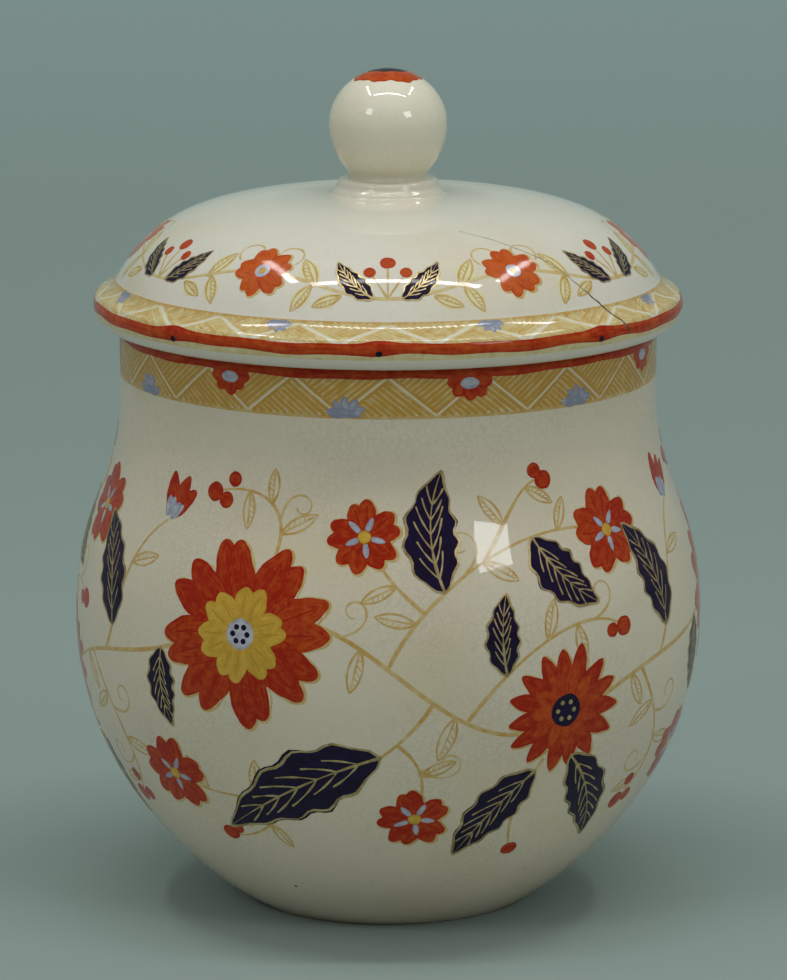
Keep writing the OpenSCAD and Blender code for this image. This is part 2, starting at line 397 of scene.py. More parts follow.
def hemmed(grid, r):
    """The same grid of angles, runs and marks with one more row close inside each of its four borders,
    a hem's width in from it, so that the bend at a shell's rim stays within the hem."""
    for axis in (1, 2):
        grid = np.moveaxis(grid, axis, 1)
        ends = []
        for edge, inner in ((grid[:, 0], grid[:, 1]), (grid[:, -1], grid[:, -2])):
            step = inner - edge
            share = np.minimum(HEM / (np.hypot(r * step[..., 0], step[..., 1]) + TINY), HEM_SHARE)
            ends.append((edge + share[..., None] * step)[:, None])
        grid = np.concatenate([grid[:, :1], ends[0], grid[:, 1:-1], ends[1], grid[:, -1:]], 1)
        grid = np.moveaxis(grid, 1, axis)
    return grid


def coat(name, lines, body, paint):
    """Paint on a piece: each line's grid becomes a thin closed shell, whose upper side is raised by the
    lift and whose lower side is sunk into the face, and all are joined in one mesh."""
    points, loops, smooth, uv, marks = [], [], [], [], []
    total = 0
    for face, angle, run, lift, mark in lines:
        grid = hemmed(np.concatenate([angle[..., None], run[..., None], mark], -1), face[1].mean())
        angle, run, mark = grid[..., 0], grid[..., 1], grid[..., 2:]
        count, n, m = angle.shape
        upper = laid(face, angle, run, lift[:, None, None])
        lower = laid(face, angle, run, -SINK)
        points.append(np.stack([upper, lower], 1).reshape(-1, 3))
        marks.append(np.stack([mark, mark], 1).reshape(-1, 3))
        flat = np.stack([angle / (2 * np.pi) + 0.5, run / face[0, -1]], -1)
        uv.append(np.stack([flat, flat], 1).reshape(-1, 2))
        grid = np.arange(2 * n * m).reshape(2, n, m)
        top, low = grid
        rims = [(top[:-1, 0], low[:-1, 0], low[1:, 0], top[1:, 0]),
                (top[1:, -1], low[1:, -1], low[:-1, -1], top[:-1, -1]),
                (top[0, 1:], low[0, 1:], low[0, :-1], top[0, :-1]),
                (top[-1, :-1], low[-1, :-1], low[-1, 1:], top[-1, 1:])]
        upper_faces = np.stack([top[:-1, :-1], top[1:, :-1], top[1:, 1:], top[:-1, 1:]], -1).reshape(-1, 4)
        lower_faces = np.stack([low[:-1, :-1], low[:-1, 1:], low[1:, 1:], low[1:, :-1]], -1).reshape(-1, 4)
        faces = np.vstack([upper_faces, lower_faces] + [np.stack(rim, -1) for rim in rims])
        loops.append((faces.ravel() + total + 2 * n * m * np.arange(count)[:, None]).ravel())
        smooth.append(np.tile(np.arange(len(faces)) < len(upper_faces), count))
        total += 2 * n * m * count
    loops = np.concatenate(loops)
    piece = build(name, np.concatenate(points), loops, 4 * np.arange(len(loops) // 4),
                  np.concatenate(smooth), np.concatenate(uv)[loops], body)
    brush = piece.data.attributes.new("brush", "FLOAT_VECTOR", "POINT")
    brush.data.foreach_set("vector", np.concatenate(marks).astype(np.float32).ravel())
    piece.data.materials.append(paint)
    return piece


def sweep(u, v, way, length, turn, share):
    """Curved lines on the flat, one a row: each starts at (u, v), heads along way, and turns evenly by
    turn over its length, so its points are those of a circle's arc at the given shares of the length."""
    each = np.broadcast_arrays(*np.atleast_1d(u, v, way, length, turn))
    u, v, way, length, turn = (a[:, None] for a in each)
    turn = np.where(np.abs(turn) < STRAIGHT, STRAIGHT, turn)
    heading = way + turn * share
    return (u + length * (np.sin(heading) - np.sin(way)) / turn,
            v - length * (np.cos(heading) - np.cos(way)) / turn)


def spot(face, degrees, z, u, v):
    """A flat drawing put on the face round a place: v goes on along the profile from the place's height,
    and u goes round at the radius there."""
    run = run_at(face, np.atleast_1d(z))[:, None] + v
    angle = np.radians(np.atleast_1d(degrees))[:, None] + u / np.interp(run, face[0], face[1])
    return angle, run


def dabs(face, degrees, z, radius, lift, u=0.0, v=0.0, squash=1.0, tone=0.0):
    """Round dabs: short lines across a circle, radius times the cosine of even steps of angle, and half
    as wide there as radius times its sine, squashed or stretched up and down."""
    degrees, z, radius, u, v = np.broadcast_arrays(*np.atleast_1d(degrees, z, radius, u, v))
    turn = np.linspace(0, np.pi, DAB_STEPS)
    u = u[:, None] - radius[:, None] * np.cos(turn)
    angle, run = spot(face, degrees, z, u, v[:, None] + 0 * u)
    half = radius[:, None] * squash * np.sin(turn)
    return line(face, angle, run, half, DAB_ACROSS, lift, tone, DAB_WOBBLE)


def fans(face, degrees, z, ways, start, length, half, lift, tone=0.0):
    """Fans of short blunt petals from a place: one line to each way, in degrees on the flat, as wide as
    half times the root of the sine of a power of the share run, so that it is fullest past its middle."""
    ways = np.radians(ways)
    z = np.repeat(np.broadcast_to(z, np.shape(degrees)), len(ways))
    degrees = np.repeat(degrees, len(ways))
    way = np.resize(ways, len(degrees)) + hand.normal(0, FAN_STRAY, len(degrees))
    share = np.sin(np.linspace(FAN_START, np.pi / 2, FAN_STEPS))
    u, v = sweep(start * np.cos(way), start * np.sin(way), way,
                 length * hand.uniform(*FAN_LENGTHS, len(way)), 0.0, share)
    angle, run = spot(face, degrees, z, u, v)
    wide = half * np.sqrt(np.sin(np.pi * share**FAN_SKEW))
    return line(face, angle, run, wide, FAN_ACROSS, lift, tone + hand.uniform(*FAN_TONES, len(way)))


def half_flowers(face, degrees, z, size):
    """Half-flowers that stand on a border's foot, or hang from its top where size is less than nought:
    five blunt petals, a flat dab that joins them and a dark line under it, all times the size."""
    big = np.abs(size)
    ways = np.sign(size) * np.array([14, 52, 90, 128, 166])
    return [fans(face, degrees, z, ways, start=0.2 * big, length=2.7 * big, half=0.72 * big,
                 lift=GREY_LIFT, tone=0.25),
            dabs(face, degrees, z, radius=1.5 * big, lift=GREY_LIFT + OVER, v=0.5 * size, squash=0.35,
                 tone=0.4),
            dabs(face, degrees, z, radius=2.3 * big, lift=GREY_LIFT + 2 * OVER, squash=0.1, tone=0.7)]


HATCH_HALF, HATCH_STRAY, HATCH_TONES = (0.19, 0.27), 0.05, (-0.15, 0.15)
FIRST_HATCH, LAST_HATCH, EDGE_HALF, WASH_SHORT, WASH_TIP = 0.12, 0.6, 0.2, 0.3, 0.05
WASH_STEPS, HATCH_STEPS, EDGE_STEPS, WASH_ACROSS = 20, 15, 18, 9


def hatched(face, low, high, repeats, gap, pitch, wash_tone, line_tone):
    """The ruled border between two lengths run. Each triangle, base down or base up, is filled with a
    wash that reaches into the gap, edged on its left, and hatched with lines that run parallel to its
    right edge: line k starts k pitches in from the right corner and ends at the left edge."""
    mid_r = np.interp((low + high) / 2, face[0], face[1])
    tall, wide = high - low, np.pi * mid_r / repeats
    lean = gap / np.sin(np.arctan2(tall, wide))
    reach = wide - lean
    peak = tall * reach / wide
    centre = np.arange(2 * repeats) * wide - np.pi * mid_r
    up = np.where(np.arange(2 * repeats) % 2, -1, 1)[:, None]
    base = np.where(up > 0, low, high)
    share = np.linspace(0, 1, WASH_STEPS)
    wash_reach = wide - WASH_SHORT * lean
    wash = line(face, (centre[:, None] + 0 * share) / mid_r, base + up * tall * wash_reach / wide * share,
                np.maximum(wash_reach * (1 - share), WASH_TIP), WASH_ACROSS, WASH_LIFT, wash_tone, 0.0)
    k = np.arange(FIRST_HATCH, 2 * reach / pitch - LAST_HATCH)
    each = len(k)
    centre, up, base = (np.repeat(a.ravel(), each)[:, None] for a in (centre, up, base))
    first = np.tile(reach - k * pitch, 2 * repeats)[:, None]
    t = np.linspace(0, 1, HATCH_STEPS) * np.tile(1 - k * pitch / (2 * reach), 2 * repeats)[:, None]
    stray = hand.normal(0, HATCH_STRAY, first.shape)
    hatch = line(face, (centre + first + stray - reach * t) / mid_r, base + up * peak * t,
                 hand.uniform(*HATCH_HALF, first.shape), 2, OCHRE_LIFT,
                 line_tone + hand.uniform(*HATCH_TONES, len(first)), PEN_WOBBLE)
    t = np.linspace(0, 1, EDGE_STEPS)
    left = line(face, (centre[::each] - reach * (1 - t)) / mid_r, base[::each] + up[::each] * peak * t,
                EDGE_HALF, 2, OCHRE_LIFT, line_tone, PEN_WOBBLE)
    return [wash, hatch, left]


jar_face = face_of(jar_skin)
rim_low_z, border_low_z, rim_bare = 85.6, 80.1, 0.4
border_inside, border_under, foot_line_down, foot_line_up = 0.2, 0.3, 0.24, 0.22
rosette_count, rosette_first, rosette_down, eye_down, flower_up = 7, 17, 0.2, 0.8, 0.15
rosette_ways = (-170, -132, -90, -48, -10)
# The neck's border has darker, browner tones than the same border on the lid: painted shade, for the neck
# lies in the lid's shadow.
shaded_neck_ruling = {"repeats": 18, "gap": 0.42, "pitch": 1.17, "wash_tone": 0.12, "line_tone": 0.6}

rim_low, rim_high = run_at(jar_face, rim_low_z), jar_face[0, -1] - rim_bare
border_low = run_at(jar_face, border_low_z)
rim_waver = waved(0, (0.1, SLOW_WAVES, 1), (0.07, FAST_WAVES, 0))
neck_ochre = hatched(jar_face, border_low + border_inside, rim_low + border_under, **shaded_neck_ruling)
neck_ochre.append(band(jar_face, border_low - foot_line_down, border_low + foot_line_up, 3, OCHRE_LIFT,
                       tone=0.2))
rosettes = rosette_first + np.arange(rosette_count) * 360 / rosette_count
neck_red = [
    band(jar_face, rim_low + rim_waver, rim_high, 14, RED_LIFT, tone=0.2),
    fans(jar_face, rosettes, rim_low_z - rosette_down, rosette_ways, start=0.4, length=2.9, half=1.2,
         lift=RED_LIFT, tone=0.2),
]
neck_grey = half_flowers(jar_face, rosettes - 180 / rosette_count, border_low_z + flower_up, size=1)
neck_grey.append(dabs(jar_face, rosettes, rim_low_z - eye_down, radius=1.4, lift=BLUE_LIFT, squash=0.6,
                      tone=-0.1))

STREAK_STRETCH, STREAK_SCALE, MOTTLE_SCALE = 0.12, 2.2, 900
POOL_EDGE, EVEN_LOAD = (0.45, 0.05), 0.5

brushwork, given, out = look(
    "brushwork",
    {"Thin": "NodeSocketColor", "Thick": "NodeSocketColor", "Streak": "NodeSocketFloat",
     "Pooling": "NodeSocketFloat"},
    {"Color": "NodeSocketColor", "Height": "NodeSocketFloat"})
mark = add(brushwork, "ShaderNodeAttribute", {}, attribute_name="brush").outputs["Vector"]
mark = add(brushwork, "ShaderNodeSeparateXYZ", {"Vector": mark}).outputs
drawn_out = calc(brushwork, "MULTIPLY", mark["X"], STREAK_STRETCH, held=False)
stretched = add(brushwork, "ShaderNodeCombineXYZ", {"X": drawn_out, "Y": mark["Y"]}).outputs[0]
streaks = noise(brushwork, stretched, STREAK_SCALE, detail=3.0)
place = add(brushwork, "ShaderNodeTexCoord", {}).outputs["Object"]
mottle = noise(brushwork, place, MOTTLE_SCALE, detail=3.0)
spread = calc(brushwork, "ADD", streaks, mottle, held=False)
spread = calc(brushwork, "SUBTRACT", spread, 1.0, held=False)
spread = calc(brushwork, "MULTIPLY", spread, given["Streak"], held=False)
pool = calc(brushwork, "MULTIPLY", fade(brushwork, mark["Y"], *POOL_EDGE), given["Pooling"])
load = calc(brushwork, "ADD", spread, mark["Z"], held=False)
load = calc(brushwork, "ADD", load, pool, held=False)
load = calc(brushwork, "ADD", load, EVEN_LOAD)
brushwork.links.new(mixed(brushwork, load, given["Thin"], given["Thick"]), out.inputs["Color"])
brushwork.links.new(load, out.inputs["Height"])

OCHRE_WASH, OCHRE_LINE = (0.66, 0.63, 0.36, 1), (0.46, 0.265, 0.036, 1)
RED_THIN, RED_THICK = (0.52, 0.10, 0.013, 1), (0.33, 0.013, 0.001, 1)
GREY_THIN, GREY_THICK = (0.50, 0.52, 0.56, 1), (0.22, 0.25, 0.33, 1)
ENAMEL_RELIEF = 0.000005
ENAMEL_SHEEN = 0.22


def painted(name, roughness, thin, thick, streak, pooling=0.0, relief=ENAMEL_RELIEF):
    """A new paint, which goes from its thin to its thick colour by the brushwork's load, with how strongly
    it streaks and how dark it pools along its edges."""
    values = {"Thin": thin, "Thick": thick, "Streak": streak, "Pooling": pooling}
    return finish(name, roughness, brushwork, values, relief)


ochre_paint, shader = painted("ochre_print", 0.1, OCHRE_WASH, OCHRE_LINE, streak=0.9)
red_paint, shader = painted("red_enamel", 0.08, RED_THIN, RED_THICK, streak=1.3, pooling=0.2)
shader.inputs["Specular IOR Level"].default_value = ENAMEL_SHEEN
grey_paint, shader = painted("grey_enamel", 0.12, GREY_THIN, GREY_THICK, streak=1.4, pooling=0.25)
coat("neck_ochre", neck_ochre, "jar", ochre_paint)
coat("neck_red", neck_red, "jar", red_paint)
coat("neck_grey", neck_grey, "jar", grey_paint)


# The jar's flowers
# A running scroll of garden flowers drawn for this pot, three times round the belly. The stems
# and leaf outlines are printed in ochre, and red, yellow, grey-blue and dark blue enamels are
# painted over them by hand, a little out of line, with gilt veins on the blue leaves.

vine_middle, vine_swing, vine_bend, vine_turn = 43.0, 7.5, 2.5, 27.0
vine_half, stem_half, tendril_half, tendril_taper = 0.3, 0.25, 0.21, 0.1
stem_thick, stem_taper = 1.15, 0.5
THIRDS = np.array([0, 120, 240])
VINE_STEPS, STEM_STEPS, TENDRIL_SHARE = 541, 40, np.linspace(0, 1, 28)
FINE_WOBBLE, GILT_WOBBLE = 0.2, 0.3


def thirds(rows, loose=0.35):
    """One third's drawing as rows, set out again for each third of the pot, each place a little off."""
    placed = np.repeat(np.array(rows, float)[None], 3, 0)
    placed[..., 0] += THIRDS[:, None]
    placed[..., :2] += hand.normal(0, loose, placed[..., :2].shape)
    return placed.reshape(-1, placed.shape[-1]).T


LOBE_APART, RING_STRAY, LOBE_STRAY, LOBE_BEND = 0.36, 0.1, 0.03, 0.1
LOBE_LENGTHS, PETAL_TONES = (0.92, 1.04), (-0.14, 0.14)
LOBE_START, LOBE_STEPS, LOBE_SKEW = 0.03, 14, 0.85
LOBE_SHARE = np.sin(np.linspace(LOBE_START, np.pi / 2, LOBE_STEPS))
LOBE_FULLNESS = np.sin(np.pi * LOBE_SHARE**LOBE_SKEW)
VEIN_SHARE, VEIN_FROM, VEIN_LONG, VEIN_HALF, VEIN_TONE = np.linspace(0, 1, 6), 0.3, 0.5, 0.12, 0.55
PRINT_ASIDE, PRINT_DOWN, PRINT_LONGER, PRINT_WIDER, PRINT_TONE = 0.2, 0.12, 0.2, 0.14, 0.15


def petals(face, degrees, z, count, lobes, inner, outer, half, lift, tilt=0.0, blunt=0.5, tone=0.0,
           veined=False):
    """A ring of petals round each place, and the printed outline under it. Each lobe of a petal is a
    line outwards from the inner to the outer radius, as wide as half times the lobe's fullness, a sine of
    the share run, to the power blunt. The outline is the same line, longer and wider, and a little out of
    place. A vein is a fine dark line along the middle of a lobe."""
    number = np.arange(count * lobes)
    way = 2 * np.pi / count * (number // lobes + LOBE_APART * (number % lobes - (lobes - 1) / 2))
    places, each = len(degrees), count * lobes
    way = hand.normal(tilt, RING_STRAY, (places, 1)) + way
    way = (way + hand.normal(0, LOBE_STRAY, (places, each))).ravel()
    outer, inner, half = (np.repeat(np.broadcast_to(a, places), each) for a in (outer, inner, half))
    degrees, z = np.repeat(degrees, each), np.repeat(z, each)
    length = (outer - inner) * hand.uniform(*LOBE_LENGTHS, len(way))
    turn = hand.normal(0, LOBE_BEND, len(way))
    wide = half[:, None] * LOBE_FULLNESS**blunt
    u, v = inner * np.cos(way), inner * np.sin(way)
    lobe = sweep(u, v, way, length, turn, LOBE_SHARE)
    depth = np.repeat(hand.uniform(*PETAL_TONES, way.size // lobes), lobes)
    enamel = [line(face, *spot(face, degrees, z, *lobe), wide, 7, lift, tone + depth)]
    if veined:
        start = inner + VEIN_FROM * length
        vein = sweep(start * np.cos(way), start * np.sin(way), way, VEIN_LONG * length, turn, VEIN_SHARE)
        enamel.append(line(face, *spot(face, degrees, z, *vein), VEIN_HALF, 2, lift + OVER, tone + VEIN_TONE,
                           GILT_WOBBLE))
    outline = sweep(u + PRINT_ASIDE, v - PRINT_DOWN, way, length + PRINT_LONGER, turn, LOBE_SHARE)
    printed = line(face, *spot(face, degrees, z, *outline), wide + PRINT_WIDER, 3, WASH_LIFT, PRINT_TONE)
    return enamel, printed


BLADE_SHARE, BLADE_LOBES, LOBE_DEPTH = np.linspace(0, 1, 26), 5, 0.1
BLADE_SKEW, BLADE_BLUNT, RIB_THICK = 0.8, 0.85, 1.3
SIDE_VEINS, SIDE_VEIN_WAY, SIDE_VEIN_BEND, SIDE_VEIN_LONG = np.arange(3, 21, 3), 0.62, 0.35, 1.2
SIDE_VEIN_FINE, SIDE_VEIN_AHEAD = 0.7, 2
GILT_LEAST, GILT_GROWTH, GILT_INSIDE = 0.08, 0.02, 0.97


def leaves(face, degrees, z, way, length, half, turn):
    """Long leaves that turn evenly along their length: the blade as wide as a skewed sine with a
    scalloped edge, then gilt lines on both edges, on the midrib and on side veins off it."""
    t = BLADE_SHARE
    u, v = sweep(0.0, 0.0, np.radians(way), length, turn, t)
    lobed = 1 + LOBE_DEPTH * np.cos(2 * np.pi * BLADE_LOBES * t)
    wide = half[:, None] * np.sin(np.pi * t**BLADE_SKEW) ** BLADE_BLUNT * lobed
    angle, run = spot(face, degrees, z, u, v)
    blade = line(face, angle, run, wide, 9, BLUE_LIFT, 0.0, 0.5 * BRUSH_WOBBLE)
    heading = np.radians(way)[:, None] + turn[:, None] * t
    fine = GILT_LEAST + GILT_GROWTH * half[:, None]
    gilt = []
    for edge in (-GILT_INSIDE * wide, GILT_INSIDE * wide):
        place = spot(face, degrees, z, u - edge * np.sin(heading), v + edge * np.cos(heading))
        gilt.append(line(face, *place, fine, 2, GOLD_LIFT, 0.1, GILT_WOBBLE))
    gilt.append(line(face, angle, run, fine * (RIB_THICK - t), 2, GOLD_LIFT, 0.2, GILT_WOBBLE))
    each = len(SIDE_VEINS)
    u, v, heading = (a[:, SIDE_VEINS].ravel() for a in (u, v, heading))
    reach = SIDE_VEIN_LONG * wide[:, SIDE_VEINS + SIDE_VEIN_AHEAD].ravel()
    half_vein = np.repeat(SIDE_VEIN_FINE * fine, each, 0)
    for side in (-1, 1):
        vein = sweep(u, v, heading + side * SIDE_VEIN_WAY, reach, -side * SIDE_VEIN_BEND, VEIN_SHARE)
        place = spot(face, np.repeat(degrees, each), np.repeat(z, each), *vein)
        gilt.append(line(face, *place, half_vein, 2, GOLD_LIFT, 0.0, GILT_WOBBLE))
    return blade, gilt


LEAFLET_BOW, LEAFLET_STEPS, LEAFLET_HATCH = 0.62, 9, (0.2, 0.34, 0.48, 0.62, 0.76)
LEAFLET_EDGE, LEAFLET_TAPER, LEAFLET_RIB, LEAFLET_PEN = 0.19, 0.06, 0.13, 0.09
EDGE_LONGER, RIB_SHORTER, WASH_WIDE, SLANT_LONG, SLANT_WAY, SLANT_STEPS = 1.07, 0.9, 0.27, 0.19, 0.85, 4


def leaflets(face, degrees, z, way, length, wash):
    """Small printed leaves: two edges that bow out and meet again, a rib, slanting hatch lines on one
    side of it, and, where a tone of wash is given, a thin wash inside."""
    way = np.radians(way)
    t = np.linspace(0, 1, LEAFLET_STEPS)
    drawn = []
    for bow in (-LEAFLET_BOW, LEAFLET_BOW):
        edge = sweep(0.0, 0.0, way + bow, length * EDGE_LONGER, -2 * bow, t)
        place = spot(face, degrees, z, *edge)
        drawn.append(line(face, *place, LEAFLET_EDGE - LEAFLET_TAPER * t, 2, OCHRE_LIFT, 0.25, FINE_WOBBLE))
    rib = sweep(0.0, 0.0, way, RIB_SHORTER * length, 0.0, t)
    drawn.append(line(face, *spot(face, degrees, z, *rib), LEAFLET_RIB, 2, OCHRE_LIFT, 0.2, FINE_WOBBLE))
    if wash:
        body = sweep(0.0, 0.0, way, length, 0.0, t)
        wide = WASH_WIDE * length[:, None] * np.sin(np.pi * t)
        drawn.append(line(face, *spot(face, degrees, z, *body), wide, 5, WASH_LIFT, wash))
    for share in LEAFLET_HATCH:
        start = share * length * np.cos(way), share * length * np.sin(way)
        reach = SLANT_LONG * length * np.sin(np.pi * share)
        slant = sweep(*start, way + SLANT_WAY, reach, 0.0, np.linspace(0, 1, SLANT_STEPS))
        place = spot(face, degrees, z, *slant)
        drawn.append(line(face, *place, LEAFLET_PEN, 2, OCHRE_LIFT, 0.1, FINE_WOBBLE))
    return drawn


def vine_at(degrees):
    """Height of the main vine: a wave three times round the pot, and one twice as fine that bends it."""
    turn = 3 * np.radians(np.asarray(degrees, float) + vine_turn)
    return vine_middle + vine_swing * np.cos(turn) + vine_bend * np.sin(2 * turn)


def grown(rows):
    """Places on the stems, in each third of the pot. A row names a stem, a share of its curve and a turn
    off its heading. It becomes the place's degrees and height and the way in degrees, and the row's
    other values follow them."""
    rows = np.array(rows, float)
    stem, along = rows[:, 0].astype(int), rows[:, 1] * STEM_STEPS
    first = np.minimum(along.astype(int), STEM_STEPS - 1)
    low, high = stem_curves[stem, first], stem_curves[stem, first + 1]
    place = low + (high - low) * (along - first)[:, None]
    rise = run_at(jar_face, high[:, 1]) - run_at(jar_face, low[:, 1])
    way = np.degrees(np.arctan2(rise, belly_r * np.radians(high[:, 0] - low[:, 0]))) + rows[:, 2]
    return thirds(np.column_stack([place, way, rows[:, 3:]]), 0.0)


def tendrils(way, length, turn):
    """Tendrils on the flat, one a row: the running sum of even steps, whose heading leaves the way by
    turn times the square of the share run, so that each winds tighter towards its tip."""
    heading = np.radians(way)[:, None] + turn[:, None] * TENDRIL_SHARE**2
    step = length[:, None] * np.gradient(TENDRIL_SHARE)
    u, v = np.cumsum(step * np.cos(heading), 1), np.cumsum(step * np.sin(heading), 1)
    return u - u[:, :1], v - v[:, :1]


ochre, grey, red, yellow, blue, gilt = [], [], [], [], [], []
vine_angle = np.linspace(-180, 180, VINE_STEPS)
ochre.append(line(jar_face, np.radians(vine_angle)[None], run_at(jar_face, vine_at(vine_angle))[None],
                  vine_half, 3, OCHRE_LIFT, 0.2, PEN_WOBBLE))
stem_curves = np.stack([bezier(*row, STEM_STEPS) for row in (
    [(0, vine_at(0)), (6, 56), (24, 66), (46, 62)],
    [(8, vine_at(8)), (0, 29), (-22, 20), (-46, 25.5)],
    [(58, vine_at(58)), (64, 50), (62, 58), (72, 63)],
    [(52, vine_at(52)), (60, 32), (66, 25), (56, 19.5)],
    [(-22, 59), (-18, 67), (-26, 70.5), (-37, 68)],
    [(14, vine_at(14)), (26, 50), (40, 52), (47, 48)],
    [(6.6, 52.8), (2, 56), (-2, 59), (-4, 63.5)],
    [(1.6, 33.6), (6, 31), (8, 27), (5, 22)],
    [(18, 59.5), (24, 65), (28, 71), (33, 70)],
    [(-17.7, 25.3), (-22, 20), (-30, 16), (-36, 17)],
    [(30, 30), (26, 25), (24, 20), (28, 15)],
)])
stems = np.concatenate([stem_curves + [degrees, 0] for degrees in THIRDS])
thinning = stem_thick - stem_taper * np.linspace(0, 1, STEM_STEPS + 1)
ochre.append(line(jar_face, np.radians(stems[..., 0]), run_at(jar_face, stems[..., 1]),
                  stem_half * thinning, 3, OCHRE_LIFT, 0.2, 2 * BRUSH_WOBBLE))
vine_third = np.linspace(-60, 60, STEM_STEPS + 1)
stem_curves = np.concatenate([stem_curves, np.stack([vine_third, vine_at(vine_third)], 1)[None]])
curls = grown([
    (0, 0.43, 10, 14, 6.2), (5, 0.72, 20, 12, 5.8), (3, 0.62, -45, 13, -6), (7, 0.4, 30, 13, 6),
    (4, 0.3, -30, 11, -5.8), (3, 0.3, 50, 13, 6), (11, 0.43, 45, 12, 6),
])
ochre.append(line(jar_face, *spot(jar_face, *curls[:2], *tendrils(*curls[2:])),
                  tendril_half - tendril_taper * TENDRIL_SHARE, 2, OCHRE_LIFT, 0.1, FINE_WOBBLE))


def pips(where, reach, radius, lift, count=6):
    """Rings of small dabs: each ring's dabs stand at even turns round its place, reach away."""
    turn = np.tile(np.radians(np.arange(count) * 360 / count), where.shape[1])
    where = np.repeat(where, count, 1)
    return dabs(jar_face, *where, radius, lift, reach * np.cos(turn), reach * np.sin(turn))


# Large two-lobed flowers in red with a yellow crown
where = thirds([(-27, 48.5)])
enamel, printed = petals(jar_face, *where, count=8, lobes=2, inner=2.5, outer=13.8, half=2.45,
                         lift=RED_LIFT, tone=0.25, veined=True)
red += enamel
ochre.append(printed)
enamel, printed = petals(jar_face, *where, count=6, lobes=2, inner=1.2, outer=7.2, half=1.8,
                         lift=YELLOW_LIFT, tilt=0.3, veined=True)
yellow += enamel
grey.append(dabs(jar_face, *where, radius=2.2, lift=BLUE_LIFT, tone=-0.25))
blue.append(pips(where, reach=1.15, radius=0.42, lift=BLUE_LIFT + OVER))

# Daisies in red, two rings of narrow petals round a dark eye
where = thirds([(33, 37)])
enamel, printed = petals(jar_face, *where, count=15, lobes=1, inner=1.8, outer=9.8, half=1.5,
                         lift=RED_LIFT, blunt=0.6, tone=0.35)
red += enamel
ochre.append(printed)
enamel, printed = petals(jar_face, *where, count=11, lobes=1, inner=1.5, outer=6.4, half=1.2,
                         lift=RED_LIFT + OVER, tilt=0.2, blunt=0.6)
red += enamel
blue.append(dabs(jar_face, *where, radius=2.5, lift=BLUE_LIFT))
gilt.append(pips(where, reach=1.4, radius=0.36, lift=GOLD_LIFT))

# Small five-petalled flowers at the stems' ends, with grey rays
where = thirds([(46, 62), (-46, 25.5), (-4, 63.5), (5, 22)])
enamel, printed = petals(jar_face, *where, count=5, lobes=2, inner=0.6,
                         outer=np.tile([6.4, 6.2, 5.4, 5.4], 3), half=np.tile([1.85, 1.75, 1.5, 1.5], 3),
                         lift=RED_LIFT, tilt=0.4, tone=0.3, veined=True)
red += enamel
ochre.append(printed)
grey.append(fans(jar_face, *where, np.arange(5) * 72 + 60, start=0.8, length=2.3, half=0.45,
                 lift=YELLOW_LIFT))
yellow.append(dabs(jar_face, *where, radius=0.95, lift=BLUE_LIFT, tone=-0.1))

# Blue leaves, printed leaflets and red berries on the stems
stem_leaves = grown([
    (0, 0.35, 73, 18, 3.9, -0.8), (0, 0.72, -78, 15, 3.5, 0.7), (1, 0.27, -20, 28, 5.2, 0.5),
    (10, 0.12, -20, 18, 3.8, 0.6), (2, 0.17, 28, 18, 3.6, 0.6),
    (5, 0.2, 62, 12, 2.6, -0.5), (11, 0.13, -118, 12, 2.7, 0.6),
])
flower_leaves = thirds([(36, 30, -46, 19, 3.6, -0.6)])
blade, lines = leaves(jar_face, *np.hstack([stem_leaves, flower_leaves]))
blue.append(blade)
gilt += lines
ochre += leaflets(jar_face, *grown([
    (0, 0.2, 120, 6), (0, 0.82, 66, 5), (0, 0.52, -58, 6), (5, 0.42, 50, 6), (8, 0.3, 75, 5.5),
    (1, 0.71, -100, 6.5), (1, 0.78, 95, 6), (1, 0.88, -55, 6), (2, 0.47, 77, 6.5),
    (2, 0.62, -50, 6), (3, 0.22, -90, 6), (3, 0.5, 65, 6.5), (3, 0.8, -45, 6), (4, 0.2, -65, 6),
    (4, 0.48, -55, 5), (4, 0.72, 100, 5.5), (11, 0.6, -80, 7), (11, 0.91, -78, 6), (5, 0.6, -85, 6),
    (6, 0.4, 73, 5.5), (7, 0.5, 100, 5.5), (8, 0.7, -64, 5), (9, 0.42, 79, 5), (10, 0.5, -65, 5.5),
    (11, 0.46, -70, 6.5),
]), 0.0)
berries = grown([
    (4, 1, 0, 0, 1.4), (4, 0.92, 90, 1.5, 1.2), (4, 0.85, -90, 1.4, 1.1), (3, 1, 0, 0, 1.5),
    (3, 0.92, 90, 1.6, 1.2), (3, 0.86, -90, 1.5, 1.1), (5, 1, 0, 0, 1.5), (5, 0.9, -90, 1.4, 1.1),
    (8, 1, 0, 0, 1.4), (8, 0.88, 90, 1.4, 1.1), (9, 1, 0, 0, 1.4), (9, 0.88, -90, 1.4, 1.1),
    (10, 1, 0, 0, 1.3),
])
aside = berries[3] * np.cos(np.radians(berries[2])), berries[3] * np.sin(np.radians(berries[2]))
red.append(dabs(jar_face, *berries[:2], berries[4], RED_LIFT, *aside, tone=0.3))

# Buds, three red petals in a grey cup
where = thirds([(72, 63)])
red.append(fans(jar_face, *where, (48, 70, 92), start=0.6, length=6.2, half=1.3, lift=RED_LIFT, tone=0.3))
grey.append(fans(jar_face, *where, (38, 58, 82, 102), start=0.0, length=3.2, half=0.8, lift=YELLOW_LIFT))

YELLOW_THIN, YELLOW_THICK = (0.62, 0.41, 0.048, 1), (0.45, 0.26, 0.018, 1)
BLUE_THIN, BLUE_THICK = (0.012, 0.005, 0.045, 1), (0.005, 0.002, 0.010, 1)
GILT_BRIGHT, GILT_WORN, GILT_METAL = (0.66, 0.53, 0.26, 1), (0.34, 0.25, 0.10, 1), 0.7

